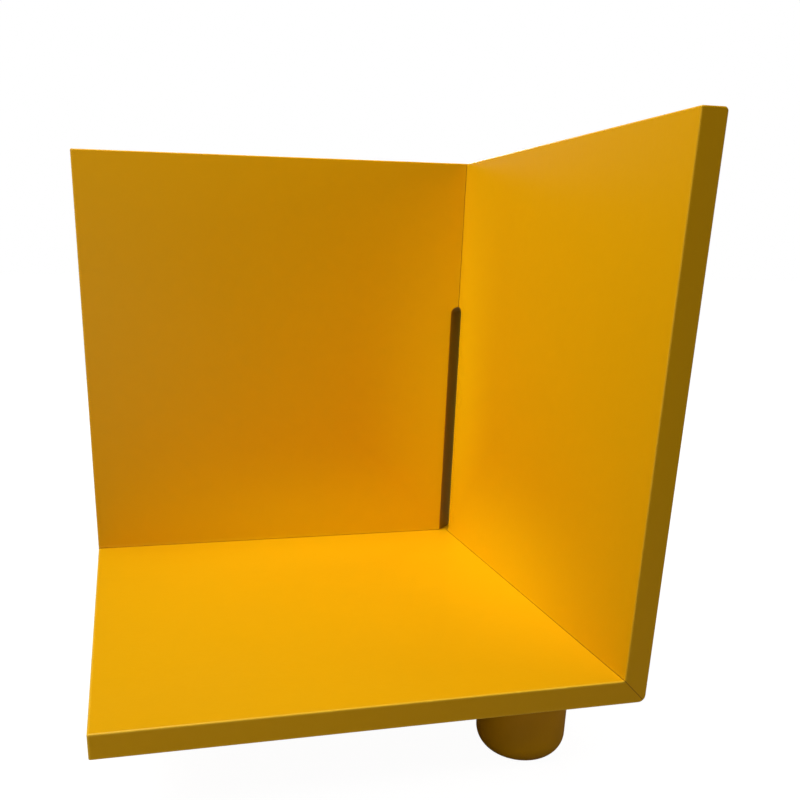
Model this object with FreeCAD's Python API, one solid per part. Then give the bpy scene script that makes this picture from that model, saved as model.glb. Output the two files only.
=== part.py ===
import FreeCAD, Part
import os

Vector = FreeCAD.Vector

# An open corner unit: a square base and two walls of thick lacquered board,
# mitred together on all three joints, with a slot up the back corner and
# three turned feet. X runs along the back wall, Y towards it and Z up.
# The origin is on the floor under the middle of the base. Sizes are in mm.

# Driving dimensions
board = 19.0               # thickness of the base and of both walls
unit_width = 400.0         # outside, along X
unit_depth = 400.0         # outside, along Y
wall_height = 400.0        # outside, from the underside of the base to the top edges
stand_height = 70.0        # from the floor to the underside of the base

joint_round = 5.5          # radius on the outside of the three mitred joints
top_round = 3.0            # radius on the outer top edges of the walls
arris_round = 1.2          # sanded radius on the free edges
joint_break = 0.35         # taken off the sharp inner edge of each mitre

slot_width = 11.6          # slot up the back corner: a 12 mm cutter, less the lacquer on both sides
joint_above_slot = 138.0   # closed joint between the slot's crown and the top edges

foot_diameter = 70.0
foot_round = 20.0          # radius round the lower edge of a foot
foot_inset = 66.0          # from a foot's axis to the outer faces of its corner
foot_top_ease = 0.6        # small chamfer where a foot meets the base

glide_thickness = 3.0
glide_proud = 1.0          # how far the felt stands below the wood
glide_margin = 1.0         # flat wood left round the felt
glide_ease = 0.4           # softened rim of the felt
glide_clearance = 0.1      # between the felt and the wall of its recess

bolt_diameter = 8.0
bolt_grip = 36.0           # length of a bolt inside its foot
bolt_point = 7.0           # tapered end of a bolt, inside the foot
bolt_point_diameter = 3.0
bolt_chamfer = 0.8
bolt_end_gap = 1.0         # free space past either end of a bolt
thread_clearance = 0.05    # between plain cylinders that stand for mating threads

insert_wall = 2.0
insert_cover = 5.0         # solid board left over the blind hole of an insert
insert_end_gap = 1.0       # between an insert and the end of its hole

biscuit_length = 53.0
biscuit_width = 19.0       # half of it goes into each board
biscuit_thickness = 4.0
biscuit_saw_radius = 50.0  # the round edge of a biscuit and of its slot
biscuit_glue_gap = 1.0     # past the edge of a biscuit, in each board
biscuit_clearance = 0.05   # on each broad face of a biscuit
biscuit_cover = 3.2        # board left between a biscuit's slot and the outer face
biscuits_per_base_joint = 3
biscuits_per_wall_joint = 2

# Planes and sizes that several pieces share
left = -unit_width / 2
right = unit_width / 2
front = -unit_depth / 2
back = unit_depth / 2
underside = stand_height
shelf = underside + board
top = underside + wall_height
inner_right = right - board
inner_back = back - board
slot_crown = top - joint_above_slot

insert_length = board - insert_cover - insert_end_gap
insert_radius = bolt_diameter / 2 + insert_wall
thread_bore_radius = bolt_diameter / 2 + thread_clearance
glide_radius = foot_diameter / 2 - foot_round - glide_margin
glide_recess = glide_thickness - glide_proud

foot_axes = {
    "front_right": (right - foot_inset, front + foot_inset),
    "back_right": (right - foot_inset, back - foot_inset),
    "back_left": (left + foot_inset, back - foot_inset),
}


def near(value, target):
    return abs(value - target) < 1e-4


def edges_where(shape, test):
    """The edges whose middle point passes the test."""
    chosen = []
    for edge in shape.Edges:
        halfway = (edge.FirstParameter + edge.LastParameter) / 2
        if test(edge.valueAt(halfway)):
            chosen.append(edge)
    return chosen


def block(low, high):
    size = high - low
    return Part.makeBox(size.x, size.y, size.z, low)


def prism(corners, run):
    return Part.Face(Part.makePolygon(corners + corners[:1])).extrude(run)


def mitre_waste(corner, leg_a, leg_b, run):
    """The three-sided strip that a 45 degree cut takes off a board's edge."""
    return prism([corner, corner + leg_a, corner + leg_b], run)


def corner_shell():
    """Base and walls as one body, with every outside and free edge rounded."""
    body = block(Vector(left, front, underside), Vector(right, back, top))
    joints = edges_where(body, lambda p: near(p.x, right) and near(p.y, back))
    joints += edges_where(body, lambda p: near(p.x, right) and near(p.z, underside))
    joints += edges_where(body, lambda p: near(p.y, back) and near(p.z, underside))
    body = body.makeFillet(joint_round, joints)
    outer_top = edges_where(
        body, lambda p: near(p.z, top) and not near(p.x, left) and not near(p.y, front)
    )
    body = body.makeFillet(top_round, outer_top)
    hollow = block(
        Vector(left - board, front - board, shelf),
        Vector(inner_right, inner_back, top + board),
    )
    body = body.cut(hollow)
    free = edges_where(body, lambda p: near(p.x, left) or near(p.y, front))
    free += edges_where(
        body, lambda p: near(p.z, top) and (near(p.x, inner_right) or near(p.y, inner_back))
    )
    return body.makeFillet(arris_round, free)


def joint_grooves():
    """Fine grooves along the three inner joint lines, where the mitres' tips are broken."""
    corner = Vector(inner_right, inner_back, shelf)
    reach_x = Vector(-unit_width, 0, 0)
    reach_y = Vector(0, -unit_depth, 0)
    reach_z = Vector(0, 0, wall_height)
    grooves = []
    for run, side_a, side_b in (
        (reach_x, Vector(0, 1, 0), Vector(0, 0, 1)),
        (reach_y, Vector(1, 0, 0), Vector(0, 0, 1)),
        (reach_z, Vector(1, 0, 0), Vector(0, 1, 0)),
    ):
        a = side_a * joint_break
        b = side_b * joint_break
        grooves.append(prism([corner + a, corner + b, corner - a, corner - b], run))
    return grooves


def corner_slot():
    """Cutter for the slot: it runs along the diagonal and has a round crown."""
    radius = slot_width / 2
    length = 4 * board
    straight_height = slot_crown - radius - shelf
    sides = Part.makeBox(length, slot_width, straight_height, Vector(-board, -radius, 0))
    crown = Part.makeCylinder(
        radius, length, Vector(-board, 0, straight_height), Vector(1, 0, 0)
    )
    cutter = sides.fuse(crown).removeSplitter()
    cutter.Placement = FreeCAD.Placement(
        Vector(inner_right, inner_back, shelf), FreeCAD.Rotation(Vector(0, 0, 1), 45)
    )
    return cutter


def biscuit_places():
    """Where each biscuit's middle is, and how its own axes lie.

    Its length is along the joint, its width crosses the mitre, and its
    thickness is along the line from the outer corner to the inner one.
    """
    reach = biscuit_width / 2 + biscuit_glue_gap
    half_slot = biscuit_thickness / 2 + biscuit_clearance
    depth = biscuit_cover * 2 ** 0.5 + half_slot + reach
    joints = (
        ("base_back", Vector(left, back, underside), Vector(1, 0, 0), Vector(0, -1, 1),
         inner_right - left, biscuits_per_base_joint),
        ("base_side", Vector(right, front, underside), Vector(0, 1, 0), Vector(-1, 0, 1),
         inner_back - front, biscuits_per_base_joint),
        ("back_side", Vector(right, back, slot_crown), Vector(0, 0, 1), Vector(-1, -1, 0),
         top - slot_crown, biscuits_per_wall_joint),
    )
    places = {}
    for name, start, along, diagonal, length, count in joints:
        inward = diagonal / diagonal.Length
        across = inward.cross(along)
        turn = FreeCAD.Rotation(along, across, inward, "XYZ")
        for i in range(count):
            middle = start + along * (length * (i + 0.5) / count) + inward * depth
            places["biscuit_%s_%d" % (name, i + 1)] = FreeCAD.Placement(middle, turn)
    return places


def lens(half_width, thickness):
    """Flat body between two arcs of the saw's radius, centred on the origin."""
    offset = biscuit_saw_radius - half_width
    low = -thickness / 2
    one_side = Part.makeCylinder(biscuit_saw_radius, thickness, Vector(0, offset, low))
    other_side = Part.makeCylinder(biscuit_saw_radius, thickness, Vector(0, -offset, low))
    return one_side.common(other_side)


def biscuit(placement):
    half = Vector(biscuit_length, biscuit_width, biscuit_thickness) / 2
    body = lens(biscuit_width / 2, biscuit_thickness).common(block(-half, half))
    body.Placement = placement
    return body


def biscuit_slot(placement):
    reach = biscuit_width / 2 + biscuit_glue_gap
    body = lens(reach, biscuit_thickness + 2 * biscuit_clearance)
    body.Placement = placement
    return body


def insert_hole(axis):
    depth = insert_length + insert_end_gap
    return Part.makeCylinder(
        insert_radius + thread_clearance, depth, Vector(axis[0], axis[1], underside)
    )


def base_panel(shell, cuts):
    body = block(Vector(left, front, underside), Vector(right, back, shelf))
    at_back = mitre_waste(
        Vector(left, back, shelf), Vector(0, -board, 0), Vector(0, 0, -board),
        Vector(unit_width, 0, 0),
    )
    at_right = mitre_waste(
        Vector(right, front, shelf), Vector(-board, 0, 0), Vector(0, 0, -board),
        Vector(0, unit_depth, 0),
    )
    holes = [insert_hole(axis) for axis in foot_axes.values()]
    return body.cut([at_back, at_right]).common(shell).cut(cuts + holes)


def back_panel(shell, cuts):
    body = block(Vector(left, inner_back, underside), Vector(right, back, top))
    at_bottom = mitre_waste(
        Vector(left, inner_back, underside), Vector(0, board, 0), Vector(0, 0, board),
        Vector(unit_width, 0, 0),
    )
    at_right = mitre_waste(
        Vector(right, inner_back, underside), Vector(-board, 0, 0), Vector(0, board, 0),
        Vector(0, 0, wall_height),
    )
    return body.cut([at_bottom, at_right]).common(shell).cut(cuts + [corner_slot()])


def side_panel(shell, cuts):
    body = block(Vector(inner_right, front, underside), Vector(right, back, top))
    at_bottom = mitre_waste(
        Vector(inner_right, front, underside), Vector(board, 0, 0), Vector(0, 0, board),
        Vector(0, unit_depth, 0),
    )
    at_back = mitre_waste(
        Vector(inner_right, back, underside), Vector(board, 0, 0), Vector(0, -board, 0),
        Vector(0, 0, wall_height),
    )
    return body.cut([at_bottom, at_back]).common(shell).cut(cuts + [corner_slot()])


def foot(axis):
    x, y = axis
    body = Part.makeCylinder(
        foot_diameter / 2, underside - glide_proud, Vector(x, y, glide_proud)
    )
    lower_rim = edges_where(body, lambda p: near(p.z, glide_proud))
    body = body.makeFillet(foot_round, lower_rim)
    upper_rim = edges_where(body, lambda p: near(p.z, underside))
    body = body.makeChamfer(foot_top_ease, upper_rim)
    bore_depth = bolt_grip + bolt_end_gap
    bore = Part.makeCylinder(
        thread_bore_radius, bore_depth, Vector(x, y, underside - bore_depth)
    )
    recess = Part.makeCylinder(
        glide_radius + glide_clearance, glide_recess, Vector(x, y, glide_proud)
    )
    return body.cut([bore, recess])


def hanger_bolt(axis):
    """One end screws into the foot's wood, the other into the insert."""
    radius = bolt_diameter / 2
    point = bolt_point_diameter / 2
    low = underside - bolt_grip
    high = underside + insert_length - bolt_end_gap
    profile = [
        Vector(0, 0, low),
        Vector(point, 0, low),
        Vector(radius, 0, low + bolt_point),
        Vector(radius, 0, high - bolt_chamfer),
        Vector(radius - bolt_chamfer, 0, high),
        Vector(0, 0, high),
    ]
    outline = Part.Face(Part.makePolygon(profile + profile[:1]))
    body = outline.revolve(Vector(0, 0, 0), Vector(0, 0, 1), 360)
    body.translate(Vector(axis[0], axis[1], 0))
    return body


def threaded_insert(axis):
    place = Vector(axis[0], axis[1], underside)
    body = Part.makeCylinder(insert_radius, insert_length, place)
    return body.cut(Part.makeCylinder(thread_bore_radius, insert_length, place))


def felt_glide(axis):
    body = Part.makeCylinder(glide_radius, glide_thickness, Vector(axis[0], axis[1], 0))
    rim = edges_where(body, lambda p: near(p.z, 0))
    return body.makeFillet(glide_ease, rim)


def all_pieces():
    shell = corner_shell()
    places = biscuit_places()
    cuts = joint_grooves() + [biscuit_slot(place) for place in places.values()]
    pieces = {
        "base_panel": base_panel(shell, cuts),
        "back_panel": back_panel(shell, cuts),
        "side_panel": side_panel(shell, cuts),
    }
    for corner, axis in foot_axes.items():
        pieces["foot_" + corner] = foot(axis)
        pieces["hanger_bolt_" + corner] = hanger_bolt(axis)
        pieces["threaded_insert_" + corner] = threaded_insert(axis)
        pieces["felt_glide_" + corner] = felt_glide(axis)
    for name, place in places.items():
        pieces[name] = biscuit(place)
    return pieces


os.makedirs("parts", exist_ok=True)
for name, piece in all_pieces().items():
    solids = piece.Solids
    if len(solids) != 1 or not piece.isValid():
        raise ValueError("%s is not one sound solid" % name)
    solids[0].exportStep("parts/%s.step" % name)
    print("%-30s %10.1f mm3" % (name, solids[0].Volume))
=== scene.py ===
# Open corner unit in yellow lacquer, standing on three round feet
import math

import bpy
from mathutils import Matrix, Vector


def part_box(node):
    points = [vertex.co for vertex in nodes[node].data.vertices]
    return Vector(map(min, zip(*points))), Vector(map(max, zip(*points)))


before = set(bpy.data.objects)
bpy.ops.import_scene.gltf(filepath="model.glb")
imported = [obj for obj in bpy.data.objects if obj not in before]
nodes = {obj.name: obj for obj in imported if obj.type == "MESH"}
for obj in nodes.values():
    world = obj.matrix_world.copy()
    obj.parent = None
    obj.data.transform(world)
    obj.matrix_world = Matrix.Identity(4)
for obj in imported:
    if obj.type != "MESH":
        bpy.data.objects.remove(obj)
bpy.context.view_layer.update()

print("frame loaded:", len(nodes), "pieces")


# small helpers for building node trees

def addNode(tree, kind, **settings):
    node = tree.nodes.new(kind)
    for key, value in settings.items():
        setattr(node, key, value)
    return node


def plug(tree, target, source):
    # source is another socket, or a plain value
    if isinstance(source, bpy.types.NodeSocket):
        tree.links.new(source, target)
    else:
        target.default_value = source


def calc(tree, operation, a, b=None, c=None):
    node = addNode(tree, "ShaderNodeMath", operation=operation)
    for socket, value in zip(node.inputs, (a, b, c)):
        if value is not None:
            plug(tree, socket, value)
    return node.outputs[0]


def vectorCalc(tree, operation, a, b=None):
    node = addNode(tree, "ShaderNodeVectorMath", operation=operation)
    plug(tree, node.inputs[0], a)
    if b is not None:
        plug(tree, node.inputs[1], b)
    return node.outputs["Value" if operation in ("LENGTH", "DOT_PRODUCT") else "Vector"]


def splitVector(tree, vector):
    node = addNode(tree, "ShaderNodeSeparateXYZ")
    plug(tree, node.inputs[0], vector)
    return node.outputs


def joinVector(tree, x, y, z):
    node = addNode(tree, "ShaderNodeCombineXYZ")
    for socket, value in zip(node.inputs, (x, y, z)):
        plug(tree, socket, value)
    return node.outputs[0]


def ramp(tree, value, low, high, outLow=0.0, outHigh=1.0):
    node = addNode(tree, "ShaderNodeMapRange", clamp=True, interpolation_type="SMOOTHSTEP")
    for socket, number in zip(node.inputs, (value, low, high, outLow, outHigh)):
        plug(tree, socket, number)
    return node.outputs[0]


def blend(tree, factor, a, b):
    node = addNode(tree, "ShaderNodeMix", data_type="RGBA")
    plug(tree, node.inputs[0], factor)
    plug(tree, node.inputs[6], a)
    plug(tree, node.inputs[7], b)
    return node.outputs[2]


def noise(tree, vector, scale, detail=2.0, rough=0.5):
    node = addNode(tree, "ShaderNodeTexNoise")
    plug(tree, node.inputs["Vector"], vector)
    plug(tree, node.inputs["Scale"], scale)
    plug(tree, node.inputs["Detail"], detail)
    plug(tree, node.inputs["Roughness"], rough)
    return node.outputs[0]


def newGroup(name, takes, gives):
    # takes and gives are lists of (socket name, kind, default)
    group = bpy.data.node_groups.new(name, "ShaderNodeTree")
    for inOut, sockets in (("INPUT", takes), ("OUTPUT", gives)):
        for socketName, kind, default in sockets:
            socket = group.interface.new_socket(
                socketName, in_out=inOut, socket_type="NodeSocket" + kind
            )
            if default is not None:
                socket.default_value = default
    start = group.nodes.new("NodeGroupInput")
    end = group.nodes.new("NodeGroupOutput")
    return group, start.outputs, end.inputs


def useGroup(tree, group, values):
    node = addNode(tree, "ShaderNodeGroup", node_tree=group, label=group.name)
    for name, value in values.items():
        plug(tree, node.inputs[name], value)
    return node.outputs


# shader groups that several finishes share

def buildSeamLine():
    # Joint between two mitred boards. Outward holds how far a point lies past the inner
    # corner towards the side wall, the back wall and the floor. Each board fills the space
    # where its own value is the largest, so a joint runs where the two largest are equal.
    group, takes, gives = newGroup(
        "seamLine",
        [
            ("Outward", "Vector", None),
            ("Line Width", "Float", 0.0005),
            ("Cove Width", "Float", 0.0025),
            ("Near Width", "Float", 0.12),
            ("Near Reach", "Float", 0.42),
        ],
        [("Line", "Float", None), ("Cove", "Float", None), ("Near", "Float", None)],
    )
    x, y, z = splitVector(group, takes["Outward"])
    highXY = calc(group, "MAXIMUM", x, y)
    largest = calc(group, "MAXIMUM", highXY, z)
    middle = calc(group, "MAXIMUM", calc(group, "MINIMUM", x, y), calc(group, "MINIMUM", highXY, z))
    gap = calc(group, "SUBTRACT", largest, middle)
    plug(group, gives["Line"], ramp(group, gap, 0.0, takes["Line Width"], 1.0, 0.0))
    # lacquer pools along the inner corners only, where no value is above zero
    near = ramp(group, gap, 0.0, takes["Cove Width"], 1.0, 0.0)
    onFace, offFace = 0.0003, 0.001
    inside = ramp(group, largest, onFace, offFace, 1.0, 0.0)
    plug(group, gives["Cove"], calc(group, "MULTIPLY", near, inside))
    # a wide zone beside the inner joints, fading away from the corner where all three meet, for painted light
    fullReach = 0.15    # metres from that corner within which the zone is at its full strength
    beside = calc(group, "MULTIPLY", inside, ramp(group, gap, 0.0, takes["Near Width"], 1.0, 0.0))
    away = vectorCalc(group, "LENGTH", takes["Outward"])
    reach = ramp(group, away, fullReach, takes["Near Reach"], 1.0, 0.0)
    plug(group, gives["Near"], calc(group, "MULTIPLY", beside, reach))
    return group


def buildSlotWall():
    # The two faces of the round-topped slot that runs out through the upright back corner.
    # Outward is the same as for seamLine, so the height above the base is minus its Z.
    group, takes, gives = newGroup(
        "slotWall",
        [
            ("Outward", "Vector", None),
            ("Half Width", "Float", 0.0058),
            ("Crown", "Float", 0.243),
            ("Fade", "Float", 0.002),
        ],
        [("Mask", "Float", None)],
    )
    hair = 0.0003       # takes in faces that lie right on the slot's outline
    x, y, z = splitVector(group, takes["Outward"])
    height = calc(group, "MULTIPLY", z, -1.0)
    sideways = calc(group, "DIVIDE", calc(group, "SUBTRACT", x, y), math.sqrt(2))
    archBase = calc(group, "SUBTRACT", takes["Crown"], takes["Half Width"])
    aboveArch = calc(group, "MAXIMUM", calc(group, "SUBTRACT", height, archBase), 0.0)
    reach = vectorCalc(group, "LENGTH", joinVector(group, sideways, aboveArch, 0.0))
    edge = calc(group, "ADD", takes["Half Width"], hair)
    above = calc(group, "GREATER_THAN", height, 0.0)
    inSlot = calc(group, "MULTIPLY", calc(group, "LESS_THAN", reach, edge), above)
    depth = ramp(group, calc(group, "MAXIMUM", x, y), hair, takes["Fade"])
    plug(group, gives["Mask"], calc(group, "MULTIPLY", inSlot, depth))
    return group


def buildEdgeWear():
    # Rubbed band along the edges of the box between Low and High, broken up by noise: partly real
    # wear and partly a painted highlight on the arrises. The middle one of the three distances to its
    # faces is the distance to the nearest edge.
    group, takes, gives = newGroup(
        "edgeWearAndHighlight",
        [
            ("Position", "Vector", None),
            ("Low", "Vector", None),
            ("High", "Vector", None),
            ("Width", "Float", 0.0015),
            ("Patches", "Float", 60.0),
            ("Evenness", "Float", 0.4),
            ("Strength", "Float", 1.0),
        ],
        [("Mask", "Float", None)],
    )
    toLow = vectorCalc(group, "ABSOLUTE", vectorCalc(group, "SUBTRACT", takes["Position"], takes["Low"]))
    toHigh = vectorCalc(group, "ABSOLUTE", vectorCalc(group, "SUBTRACT", takes["High"], takes["Position"]))
    x, y, z = splitVector(group, vectorCalc(group, "MINIMUM", toLow, toHigh))
    highXY = calc(group, "MAXIMUM", x, y)
    middle = calc(group, "MAXIMUM", calc(group, "MINIMUM", x, y), calc(group, "MINIMUM", highXY, z))
    band = ramp(group, middle, 0.0, takes["Width"], 1.0, 0.0)
    patches = ramp(group, noise(group, takes["Position"], takes["Patches"], 4.0, 0.6), 0.4, 0.66)
    broken = calc(group, "MAXIMUM", patches, takes["Evenness"])
    rubbed = calc(group, "MULTIPLY", band, broken)
    plug(group, gives["Mask"], calc(group, "MULTIPLY", rubbed, takes["Strength"]))
    return group


def buildLacquerTone():
    # Slow drift of a sprayed colour: broad clouds, then a finer mottle
    group, takes, gives = newGroup(
        "lacquerTone",
        [
            ("Position", "Vector", None),
            ("Color", "Color", None),
            ("Deep Color", "Color", None),
            ("Clouds", "Float", 5.0),
            ("Mottle", "Float", 90.0),
            ("Amount", "Float", 0.4),
        ],
        [("Color", "Color", None)],
    )
    clouds = noise(group, takes["Position"], takes["Clouds"], 2.0, 0.45)
    mottle = noise(group, takes["Position"], takes["Mottle"], 3.0, 0.6)
    mottleShare = 0.3
    broad = calc(group, "MULTIPLY", clouds, 1.0 - mottleShare)
    both = calc(group, "MULTIPLY_ADD", mottle, mottleShare, broad)
    factor = calc(group, "MULTIPLY", ramp(group, both, 0.36, 0.64), takes["Amount"])
    plug(group, gives["Color"], blend(group, factor, takes["Color"], takes["Deep Color"]))
    return group


def buildLacquerSkin():
    # Surface of a lacquer film: soft orange peel, and stipple drawn out the way it was laid on
    group, takes, gives = newGroup(
        "lacquerSkin",
        [
            ("Position", "Vector", None),
            ("Stretch", "Vector", (1.0, 1.0, 1.0)),
            ("Peel", "Float", 300.0),
            ("Stipple", "Float", 900.0),
            ("Stipple Share", "Float", 0.5),
        ],
        [("Height", "Float", None)],
    )
    peel = noise(group, takes["Position"], takes["Peel"], 1.0, 0.4)
    drawn = vectorCalc(group, "MULTIPLY", takes["Position"], takes["Stretch"])
    stipple = noise(group, drawn, takes["Stipple"], 2.0, 0.55)
    plug(group, gives["Height"], calc(group, "MULTIPLY_ADD", stipple, takes["Stipple Share"], peel))
    return group


def buildDust():
    # Sparse specks: nibs in a film of lacquer, or lint on felt
    group, takes, gives = newGroup(
        "dustSpecks",
        [
            ("Position", "Vector", None),
            ("Density", "Float", 90.0),
            ("Size", "Float", 0.05),
            ("Share", "Float", 0.12),
        ],
        [("Mask", "Float", None)],
    )
    cells = addNode(group, "ShaderNodeTexVoronoi", feature="F1")
    plug(group, cells.inputs["Vector"], takes["Position"])
    plug(group, cells.inputs["Scale"], takes["Density"])
    spot = ramp(group, cells.outputs["Distance"], 0.0, takes["Size"], 1.0, 0.0)
    pick = addNode(group, "ShaderNodeSeparateColor")
    plug(group, pick.inputs[0], cells.outputs["Color"])
    chosen = calc(group, "LESS_THAN", pick.outputs[0], takes["Share"])
    plug(group, gives["Mask"], calc(group, "MULTIPLY", spot, chosen))
    return group


def buildHandling():
    # Smudges and fine rubbing that change the gloss a little, on lacquer and metal alike
    group, takes, gives = newGroup(
        "handlingMarks",
        [
            ("Position", "Vector", None),
            ("Scale", "Float", 14.0),
            ("Base", "Float", 0.4),
            ("Spread", "Float", 0.1),
        ],
        [("Roughness", "Float", None)],
    )
    smudges = noise(group, takes["Position"], takes["Scale"], 3.0, 0.5)
    rubbed = vectorCalc(group, "MULTIPLY", takes["Position"], (1.0, 1.0, 0.15))
    hairlines = noise(group, rubbed, calc(group, "MULTIPLY", takes["Scale"], 40.0), 2.0, 0.6)
    hairlineShare = 0.35
    soft = calc(group, "MULTIPLY", smudges, 1.0 - hairlineShare)
    mix = calc(group, "MULTIPLY_ADD", hairlines, hairlineShare, soft)
    centred = calc(group, "SUBTRACT", mix, 0.5)
    rough = calc(group, "MULTIPLY_ADD", centred, calc(group, "MULTIPLY", takes["Spread"], 2.0), takes["Base"])
    plug(group, gives["Roughness"], rough)
    return group


def buildScrewThread():
    # Helical ridges round an upright axis. Around is measured from a point on that axis.
    group, takes, gives = newGroup(
        "screwThread",
        [("Around", "Vector", None), ("Pitch", "Float", 0.00125)],
        [("Height", "Float", None)],
    )
    x, y, z = splitVector(group, takes["Around"])
    turn = calc(group, "DIVIDE", calc(group, "ARCTAN2", y, x), 2 * math.pi)
    climb = calc(group, "DIVIDE", z, takes["Pitch"])
    wave = calc(group, "PINGPONG", calc(group, "SUBTRACT", climb, turn), 0.5)
    plug(group, gives["Height"], calc(group, "MULTIPLY", wave, 2.0))
    return group


seamLine = buildSeamLine()
slotWall = buildSlotWall()
edgeWearAndHighlight = buildEdgeWear()
lacquerTone = buildLacquerTone()
lacquerSkin = buildLacquerSkin()
dustSpecks = buildDust()
handlingMarks = buildHandling()
screwThread = buildScrewThread()
print("shader groups built")


def newMaterial(name):
    material = bpy.data.materials.new(name)
    material.use_nodes = True
    tree = material.node_tree
    tree.nodes.clear()
    shader = tree.nodes.new("ShaderNodeBsdfPrincipled")
    output = tree.nodes.new("ShaderNodeOutputMaterial")
    tree.links.new(shader.outputs[0], output.inputs[0])
    place = tree.nodes.new("ShaderNodeTexCoord").outputs["Object"]
    return material, tree, shader, place


def bumpFrom(tree, shader, height):
    # height is in metres
    bump = addNode(tree, "ShaderNodeBump")
    plug(tree, bump.inputs["Height"], height)
    plug(tree, bump.inputs["Distance"], 1.0)
    plug(tree, bump.inputs["Strength"], 1.0)
    tree.links.new(bump.outputs[0], shader.inputs["Normal"])


def addHeights(tree, *parts):
    # each part is (height from 0 to 1, depth in metres)
    total = 0.0
    for height, depth in parts:
        total = calc(tree, "MULTIPLY_ADD", height, depth, total)
    return total


def dress(name, material):
    piece = nodes[name]
    piece.data.materials.clear()
    piece.data.materials.append(material)


# lacquered boards

lacquer = {
    "color": (0.705, 0.354, 0.0006, 1.0),
    "deepColor": (0.675, 0.334, 0.0005, 1.0),
    # paler edge band: partly real wear, partly a painted highlight on the arrises
    "wornAndHighlightColor": (0.90, 0.56, 0.04, 1.0),
    "paintedSlotShade": (0.38, 0.24, 0.0005, 1.0),     # painted shade inside the slot, darker than the lacquer outside
    "slotHalfWidth": 0.0058,
    "slotCrown": 0.243,     # height of the slot's top above the base
    "slotDulling": 0.25,    # how much rougher the lacquer is in the slot
    "jointColor": (0.25, 0.07, 0.0005, 1.0),
    "jointStrength": 0.9,
    "jointWidth": 0.0007,
    "roughness": 0.38,
    "roughnessSpread": 0.07,
    "specular": 0.15,
    "skinDepth": 0.00005,
    "speckDepth": 0.00006,
    "coveWidth": 0.0028,
    "coveDepth": 0.0003,    # lacquer pooled in the inner corners
    "wearWidth": 0.0022,
    "wearEvenness": 0.7,
    "wearPolish": 0.06,     # how much smoother the rubbed edges are
}
# Less than 1 in stretch draws the stipple out along that axis. paintedCornerLight is painted light: the
# lacquer made paler beside the inner joints, most near the corner. wear is this board's share of the
# paler edge band, partly real wear and partly painted highlight, and noWearOrHighlightTop lifts that band
# this far past the real edges at the top, so those stay plain.
boards = {
    "base_panel": {
        "stretch": (1.0, 0.35, 1.0),
        "paintedCornerLight": (0.76, 0.395, 0.0006, 1.0),
        "wearAndHighlight": 1.0,
        "noWearOrHighlightTop": 0.0,
    },
    "back_panel": {
        "stretch": (1.0, 1.0, 0.3),
        "paintedCornerLight": (0.78, 0.455, 0.0006, 1.0),
        "wearAndHighlight": 0.5,
        "noWearOrHighlightTop": 0.05,
    },
    "side_panel": {
        "stretch": (1.0, 1.0, 0.3),
        "paintedCornerLight": (0.85, 0.49, 0.0006, 1.0),
        "wearAndHighlight": 0.3,
        "noWearOrHighlightTop": 0.05,
    },
}
innerCorner = Vector((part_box("side_panel")[0].x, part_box("back_panel")[0].y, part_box("base_panel")[1].z))


def lacquered(name, look, box=None):
    material, tree, shader, place = newMaterial(name)
    tone = useGroup(tree, lacquerTone, {
        "Position": place, "Color": look["color"], "Deep Color": look["deepColor"],
    })["Color"]
    specks = useGroup(tree, dustSpecks, {"Position": place})["Mask"]
    skin = useGroup(tree, lacquerSkin, {"Position": place, "Stretch": look["stretch"]})["Height"]
    heights = [(skin, look["skinDepth"]), (specks, look["speckDepth"])]
    rough = useGroup(tree, handlingMarks, {
        "Position": place, "Base": look["roughness"], "Spread": look["roughnessSpread"],
    })["Roughness"]
    if box:     # a board, with joints and worn edges
        low, high = box
        fromCorner = vectorCalc(tree, "SUBTRACT", place, innerCorner)
        outward = vectorCalc(tree, "MULTIPLY", fromCorner, (1.0, 1.0, -1.0))
        seam = useGroup(tree, seamLine, {
            "Outward": outward, "Line Width": look["jointWidth"], "Cove Width": look["coveWidth"],
        })
        # painted light: the lacquer turns paler beside the inner joints, strongest near the corner
        tone = blend(tree, seam["Near"], tone, look["paintedCornerLight"])
        wearAndHighlight = useGroup(tree, edgeWearAndHighlight, {
            "Position": place, "Low": low, "High": high,
            "Width": look["wearWidth"], "Evenness": look["wearEvenness"], "Strength": look["wearAndHighlight"],
        })["Mask"]
        # paler band on the edges, partly real wear and partly painted highlight
        tone = blend(tree, wearAndHighlight, tone, look["wornAndHighlightColor"])
        rough = calc(tree, "MULTIPLY_ADD", wearAndHighlight, -look["wearPolish"], rough)
        shade = calc(tree, "MULTIPLY", seam["Line"], look["jointStrength"])
        tone = blend(tree, shade, tone, look["jointColor"])
        heights.append((seam["Cove"], look["coveDepth"]))
        slot = useGroup(tree, slotWall, {
            "Outward": outward, "Half Width": look["slotHalfWidth"], "Crown": look["slotCrown"],
        })["Mask"]
        # painted shade: the slot's faces turn dark over the first Fade of their depth
        tone = blend(tree, slot, tone, look["paintedSlotShade"])
        rough = calc(tree, "MULTIPLY_ADD", slot, look["slotDulling"], rough)
    tree.links.new(tone, shader.inputs["Base Color"])
    tree.links.new(rough, shader.inputs["Roughness"])
    shader.inputs["Specular IOR Level"].default_value = look["specular"]
    bumpFrom(tree, shader, addHeights(tree, *heights))
    return material


for name, board in boards.items():
    low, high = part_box(name)
    rubbed = (low, high + Vector((0, 0, board["noWearOrHighlightTop"])))
    dress(name, lacquered(name + "Lacquer", dict(lacquer, **board), rubbed))
print("boards lacquered")


# turned feet

footShadedLacquer = dict(
    lacquer,
    # painted shade: the boards' lacquer made darker, as the feet stand in shade under the base
    color=(0.640, 0.292, 0.0005, 1.0),
    deepColor=(0.610, 0.274, 0.0004, 1.0),
    roughness=0.42,
    skinDepth=0.00006,
    stretch=(0.6, 0.6, 3.0),    # fine rings left by the lathe run round the foot
)
corners = ("front_right", "back_right", "back_left")
footFinish = lacquered("footShadedLacquer", footShadedLacquer)
for corner in corners:
    dress("foot_" + corner, footFinish)
print("feet lacquered")


# hanger bolts and the inserts they screw into

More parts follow.
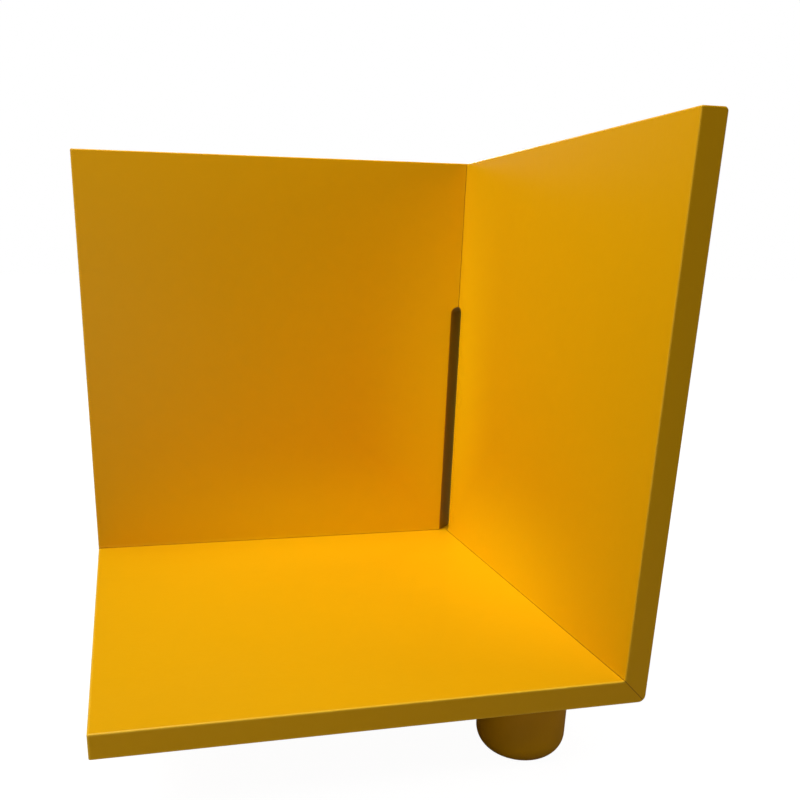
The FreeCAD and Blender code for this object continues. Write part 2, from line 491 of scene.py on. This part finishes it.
bolt = {
    "color": (0.58, 0.60, 0.63, 1.0),
    "dullColor": (0.40, 0.42, 0.45, 1.0),
    "roughness": 0.30,
    "roughnessSpread": 0.14,
    "machinePitch": 0.00125,
    "woodPitch": 0.003,
    "threadDepth": 0.0006,
    "patchScale": 900.0,    # patches of brighter and duller plating
    "markScale": 60.0,
}
insert = {
    "color": (0.72, 0.50, 0.20, 1.0),
    "dullColor": (0.42, 0.27, 0.10, 1.0),
    "roughness": 0.34,
    "roughnessSpread": 0.12,
    "pitch": 0.003,
    "threadDepth": 0.0007,
    "patchScale": 500.0,
    "markScale": 60.0,
}


def spangled(tree, place, look):
    # patches of brighter and duller metal, the way plating or tarnish sets
    cells = addNode(tree, "ShaderNodeTexVoronoi", feature="SMOOTH_F1")
    plug(tree, cells.inputs["Vector"], place)
    plug(tree, cells.inputs["Scale"], look["patchScale"])
    plug(tree, cells.inputs["Smoothness"], 0.4)
    clouds = noise(tree, place, look["patchScale"] / 4, 3.0, 0.55)
    cloudy = calc(tree, "MULTIPLY", clouds, cells.outputs["Distance"])
    return blend(tree, ramp(tree, cloudy, 0.05, 0.4), look["color"], look["dullColor"])


def threaded(name, look, axis, seatHeight=None):
    # axis is where the screw stands, and seatHeight, for a bolt, is where its thread changes
    material, tree, shader, place = newMaterial(name)
    tree.links.new(spangled(tree, place, look), shader.inputs["Base Color"])
    rough = useGroup(tree, handlingMarks, {
        "Position": place, "Scale": look["markScale"],
        "Base": look["roughness"], "Spread": look["roughnessSpread"],
    })["Roughness"]
    tree.links.new(rough, shader.inputs["Roughness"])
    shader.inputs["Metallic"].default_value = 1.0
    around = vectorCalc(tree, "SUBTRACT", place, axis)
    if seatHeight is None:
        ridges = useGroup(tree, screwThread, {"Around": around, "Pitch": look["pitch"]})["Height"]
    else:
        machine = useGroup(tree, screwThread, {"Around": around, "Pitch": look["machinePitch"]})["Height"]
        wood = useGroup(tree, screwThread, {"Around": around, "Pitch": look["woodPitch"]})["Height"]
        above = calc(tree, "GREATER_THAN", splitVector(tree, place)[2], seatHeight)
        mix = addNode(tree, "ShaderNodeMix", data_type="FLOAT")
        plug(tree, mix.inputs[0], above)
        plug(tree, mix.inputs[2], wood)
        plug(tree, mix.inputs[3], machine)
        ridges = mix.outputs[0]
    bumpFrom(tree, shader, addHeights(tree, (ridges, look["threadDepth"])))
    return material


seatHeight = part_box("base_panel")[0].z
for corner in corners:
    low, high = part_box("hanger_bolt_" + corner)
    axis = Vector(((low.x + high.x) / 2, (low.y + high.y) / 2, 0.0))
    dress("hanger_bolt_" + corner, threaded("zinc_" + corner, bolt, axis, seatHeight))
    dress("threaded_insert_" + corner, threaded("brass_" + corner, insert, axis))
print("bolts and inserts finished")


# felt under the feet

felt = {
    "color": (0.135, 0.130, 0.120, 1.0),
    "paleColor": (0.24, 0.235, 0.22, 1.0),
    "lintColor": (0.42, 0.41, 0.38, 1.0),
    "fibreScale": 2600.0,
    "fibreLength": 0.12,    # less than 1 draws the fibres out
    "fibreDepth": 0.0002,
    "swirlScale": 260.0,
    "swirl": 0.004,         # metres that the fibres stray sideways
    "lintDensity": 700.0,
    "lintSize": 0.2,
    "lintShare": 0.15,
    "sheen": 0.35,
}


def feltMaterial(name, look):
    material, tree, shader, place = newMaterial(name)
    swirl = noise(tree, place, look["swirlScale"], 2.0, 0.5)
    stray = (look["swirl"], look["swirl"], 0.0)
    push = vectorCalc(tree, "MULTIPLY", joinVector(tree, swirl, swirl, 0.0), stray)
    warped = vectorCalc(tree, "ADD", place, push)
    drawn = look["fibreLength"]
    across = vectorCalc(tree, "MULTIPLY", warped, (1.0, drawn, 0.6))
    along = vectorCalc(tree, "MULTIPLY", warped, (drawn, 1.0, 0.6))
    fibresAcross = noise(tree, across, look["fibreScale"], 3.0, 0.6)
    fibresAlong = noise(tree, along, look["fibreScale"], 3.0, 0.6)
    fibres = calc(tree, "MAXIMUM", fibresAcross, fibresAlong)
    tone = blend(tree, ramp(tree, fibres, 0.45, 0.75), look["color"], look["paleColor"])
    lint = useGroup(tree, dustSpecks, {
        "Position": place,
        "Density": look["lintDensity"], "Size": look["lintSize"], "Share": look["lintShare"],
    })["Mask"]
    tone = blend(tree, lint, tone, look["lintColor"])
    tree.links.new(tone, shader.inputs["Base Color"])
    tree.links.new(ramp(tree, fibres, 0.3, 0.8, 0.97, 0.86), shader.inputs["Roughness"])
    shader.inputs["Sheen Weight"].default_value = look["sheen"]
    bumpFrom(tree, shader, addHeights(tree, (fibres, look["fibreDepth"]), (lint, look["fibreDepth"])))
    return material


feltFinish = feltMaterial("greyFelt", felt)
for corner in corners:
    dress("felt_glide_" + corner, feltFinish)
print("felt glides finished")


# pressed beech biscuits

beech = {
    "color": (0.56, 0.34, 0.18, 1.0),
    "darkColor": (0.40, 0.22, 0.10, 1.0),
    "fleckColor": (0.30, 0.15, 0.07, 1.0),
    "skew": 35.0,           # biscuits are cut with the grain on the skew, in degrees
    "grain": (0.12, 1.0, 1.0),
    "grainScale": 240.0,
    "grainDepth": 0.00005,
    "fleckScale": 1500.0,
    "fleckStrength": 0.7,
    "pressPitch": 0.0016,   # diamond pattern rolled into both broad faces
    "pressDepth": 0.00012,
}


def beechMaterial(name, look):
    material, tree, shader, place = newMaterial(name)
    turn = addNode(tree, "ShaderNodeVectorRotate", rotation_type="Z_AXIS")
    plug(tree, turn.inputs["Vector"], place)
    plug(tree, turn.inputs["Angle"], math.radians(look["skew"]))
    drawn = vectorCalc(tree, "MULTIPLY", turn.outputs[0], look["grain"])
    figure = noise(tree, drawn, look["grainScale"], 4.0, 0.6)
    tone = blend(tree, ramp(tree, figure, 0.35, 0.65), look["color"], look["darkColor"])
    flecks = ramp(tree, noise(tree, drawn, look["fleckScale"], 1.0, 0.5), 0.62, 0.7)
    strength = calc(tree, "MULTIPLY", flecks, look["fleckStrength"])
    tone = blend(tree, strength, tone, look["fleckColor"])
    tree.links.new(tone, shader.inputs["Base Color"])
    tree.links.new(ramp(tree, figure, 0.3, 0.7, 0.62, 0.8), shader.inputs["Roughness"])
    x, y, z = splitVector(tree, place)
    rolled = 0.0
    for first, second in ((x, z), (y, z), (x, y)):
        one = calc(tree, "PINGPONG", calc(tree, "ADD", first, second), look["pressPitch"])
        other = calc(tree, "PINGPONG", calc(tree, "SUBTRACT", first, second), look["pressPitch"])
        lattice = calc(tree, "DIVIDE", calc(tree, "MINIMUM", one, other), look["pressPitch"])
        rolled = calc(tree, "MAXIMUM", lattice, rolled)
    bumpFrom(tree, shader, addHeights(tree, (rolled, look["pressDepth"]), (figure, look["grainDepth"])))
    return material


beechFinish = beechMaterial("beech", beech)
for name in nodes:
    if name.startswith("biscuit_"):
        dress(name, beechFinish)
print("biscuits finished")


# floor, light and camera

studio = {
    "floorColor": (0.90, 0.90, 0.89, 1.0),
    "bounceColor": (0.30, 0.29, 0.27, 1.0),     # what the floor gives back to the unit
    "floorSize": 30.0,
    "floorHeight": -0.0002,     # just clear of the felt
    "nearGlow": 1.15,
    "farGlow": 1.2,
    "glowReach": (0.6, 2.0),    # the floor brightens from the first distance to the second
    "shadowShare": 0.16,        # how much of the light and shade the floor shows
    "background": (1.0, 1.0, 1.0, 1.0),
    "fill": 0.015,
    "aim": (0.0, 0.0, 0.25),
    "softboxes": {      # place, diameter and watts
        "keyLeft": ((-1.6, -1.4, 2.0), 0.7, 8.0),
        "lowLeft": ((-1.0, -0.6, 1.1), 0.7, 4.3),
        "overhead": ((-0.3, 0.05, 1.5), 0.7, 16.5),
        "lowFront": ((-0.45, -1.2, 0.15), 0.7, 2.1),
        "right": ((1.8, -0.55, 0.6), 0.7, 4.5),
        "behind": ((0.4, 2.0, 0.9), 0.9, 26.0),
    },
    "spotAim": (0.15, 0.15, 0.12),
    "spotRadius": 0.25,
    "spotSoftness": 1.0,
    "spots": {          # place, cone in degrees and watts
        "cornerHigh": ((-0.5, -0.2, 1.7), 35.0, 22.0),
        "cornerLow": ((-1.3, -0.3, 0.9), 35.7, 6.8),
    },
}


def link(thing):
    bpy.context.scene.collection.objects.link(thing)
    return thing


def shaderMix(tree, factor, one, other):
    mix = addNode(tree, "ShaderNodeMixShader")
    plug(tree, mix.inputs[0], factor)
    tree.links.new(one.outputs[0], mix.inputs[1])
    tree.links.new(other.outputs[0], mix.inputs[2])
    return mix


def makeFloor():
    half = studio["floorSize"] / 2
    height = studio["floorHeight"]
    mesh = bpy.data.meshes.new("floor")
    outline = [(x, y, height) for x, y in ((-half, -half), (half, -half), (half, half), (-half, half))]
    mesh.from_pydata(outline, [], [(0, 1, 2, 3)])
    floor = link(bpy.data.objects.new("floor", mesh))
    material = bpy.data.materials.new("paleFloor")
    material.use_nodes = True
    tree = material.node_tree
    tree.nodes.clear()
    place = addNode(tree, "ShaderNodeTexCoord").outputs["Object"]
    near, far = studio["glowReach"]
    away = vectorCalc(tree, "LENGTH", place)
    glow = addNode(tree, "ShaderNodeEmission")
    plug(tree, glow.inputs[1], ramp(tree, away, near, far, studio["nearGlow"], studio["farGlow"]))
    matt = addNode(tree, "ShaderNodeBsdfDiffuse")
    matt.inputs[0].default_value = studio["floorColor"]
    bounced = addNode(tree, "ShaderNodeBsdfDiffuse")
    bounced.inputs[0].default_value = studio["bounceColor"]
    seen = shaderMix(tree, studio["shadowShare"], glow, matt)
    path = addNode(tree, "ShaderNodeLightPath")
    both = shaderMix(tree, path.outputs["Is Camera Ray"], bounced, seen)
    output = addNode(tree, "ShaderNodeOutputMaterial")
    tree.links.new(both.outputs[0], output.inputs[0])
    mesh.materials.append(material)


def makeWorld():
    world = bpy.data.worlds.new("studio")
    bpy.context.scene.world = world
    world.use_nodes = True
    tree = world.node_tree
    tree.nodes.clear()
    fill = addNode(tree, "ShaderNodeBackground")
    fill.inputs[0].default_value = studio["background"]
    fill.inputs[1].default_value = studio["fill"]
    seen = addNode(tree, "ShaderNodeBackground")
    seen.inputs[0].default_value = studio["background"]
    path = addNode(tree, "ShaderNodeLightPath")
    both = shaderMix(tree, path.outputs["Is Camera Ray"], fill, seen)
    output = addNode(tree, "ShaderNodeOutputWorld")
    tree.links.new(both.outputs[0], output.inputs[0])


def hang(name, light, place, aim):
    lamp = link(bpy.data.objects.new(name, light))
    lamp.location = place
    lamp.rotation_mode = "QUATERNION"
    lamp.rotation_quaternion = (Vector(place) - Vector(aim)).to_track_quat("Z", "Y")


def makeLights():
    for name, (place, diameter, watts) in studio["softboxes"].items():
        light = bpy.data.lights.new(name, "AREA")
        light.shape = "DISK"
        light.size = diameter
        light.energy = watts
        hang(name, light, place, studio["aim"])
    for name, (place, cone, watts) in studio["spots"].items():
        light = bpy.data.lights.new(name, "SPOT")
        light.spot_size = math.radians(cone)
        light.spot_blend = studio["spotSoftness"]
        light.shadow_soft_size = studio["spotRadius"]
        light.energy = watts
        hang(name, light, place, studio["spotAim"])


camera = {
    "fromCorner": (-0.3433, -0.8959, 0.2931),  # from the inner corner of the base, in metres
    "turn": 13.096,   # to the right of straight back, in degrees
    "dip": 18.355,
    "tilt": 0.851,
    "lens": 39.51,
    "shift": (0.0882, 0.1825),
}


def makeCamera():
    turn, dip, tilt = (math.radians(camera[k]) for k in ("turn", "dip", "tilt"))
    ahead = Vector((math.sin(turn) * math.cos(dip), math.cos(turn) * math.cos(dip), -math.sin(dip)))
    level = Vector((math.cos(turn), -math.sin(turn), 0))
    upright = level.cross(ahead)
    across = level * math.cos(tilt) + upright * math.sin(tilt)
    up = upright * math.cos(tilt) - level * math.sin(tilt)
    data = bpy.data.cameras.new("camera")
    data.lens = camera["lens"]
    data.shift_x, data.shift_y = camera["shift"]
    view = link(bpy.data.objects.new("camera", data))
    facing = Matrix((across, up, -ahead)).transposed().to_4x4()
    view.matrix_world = Matrix.Translation(innerCorner + Vector(camera["fromCorner"])) @ facing
    bpy.context.scene.camera = view


makeFloor()
makeWorld()
makeLights()
makeCamera()
bpy.context.scene.view_settings.view_transform = "Standard"
print("floor, light and camera in place")
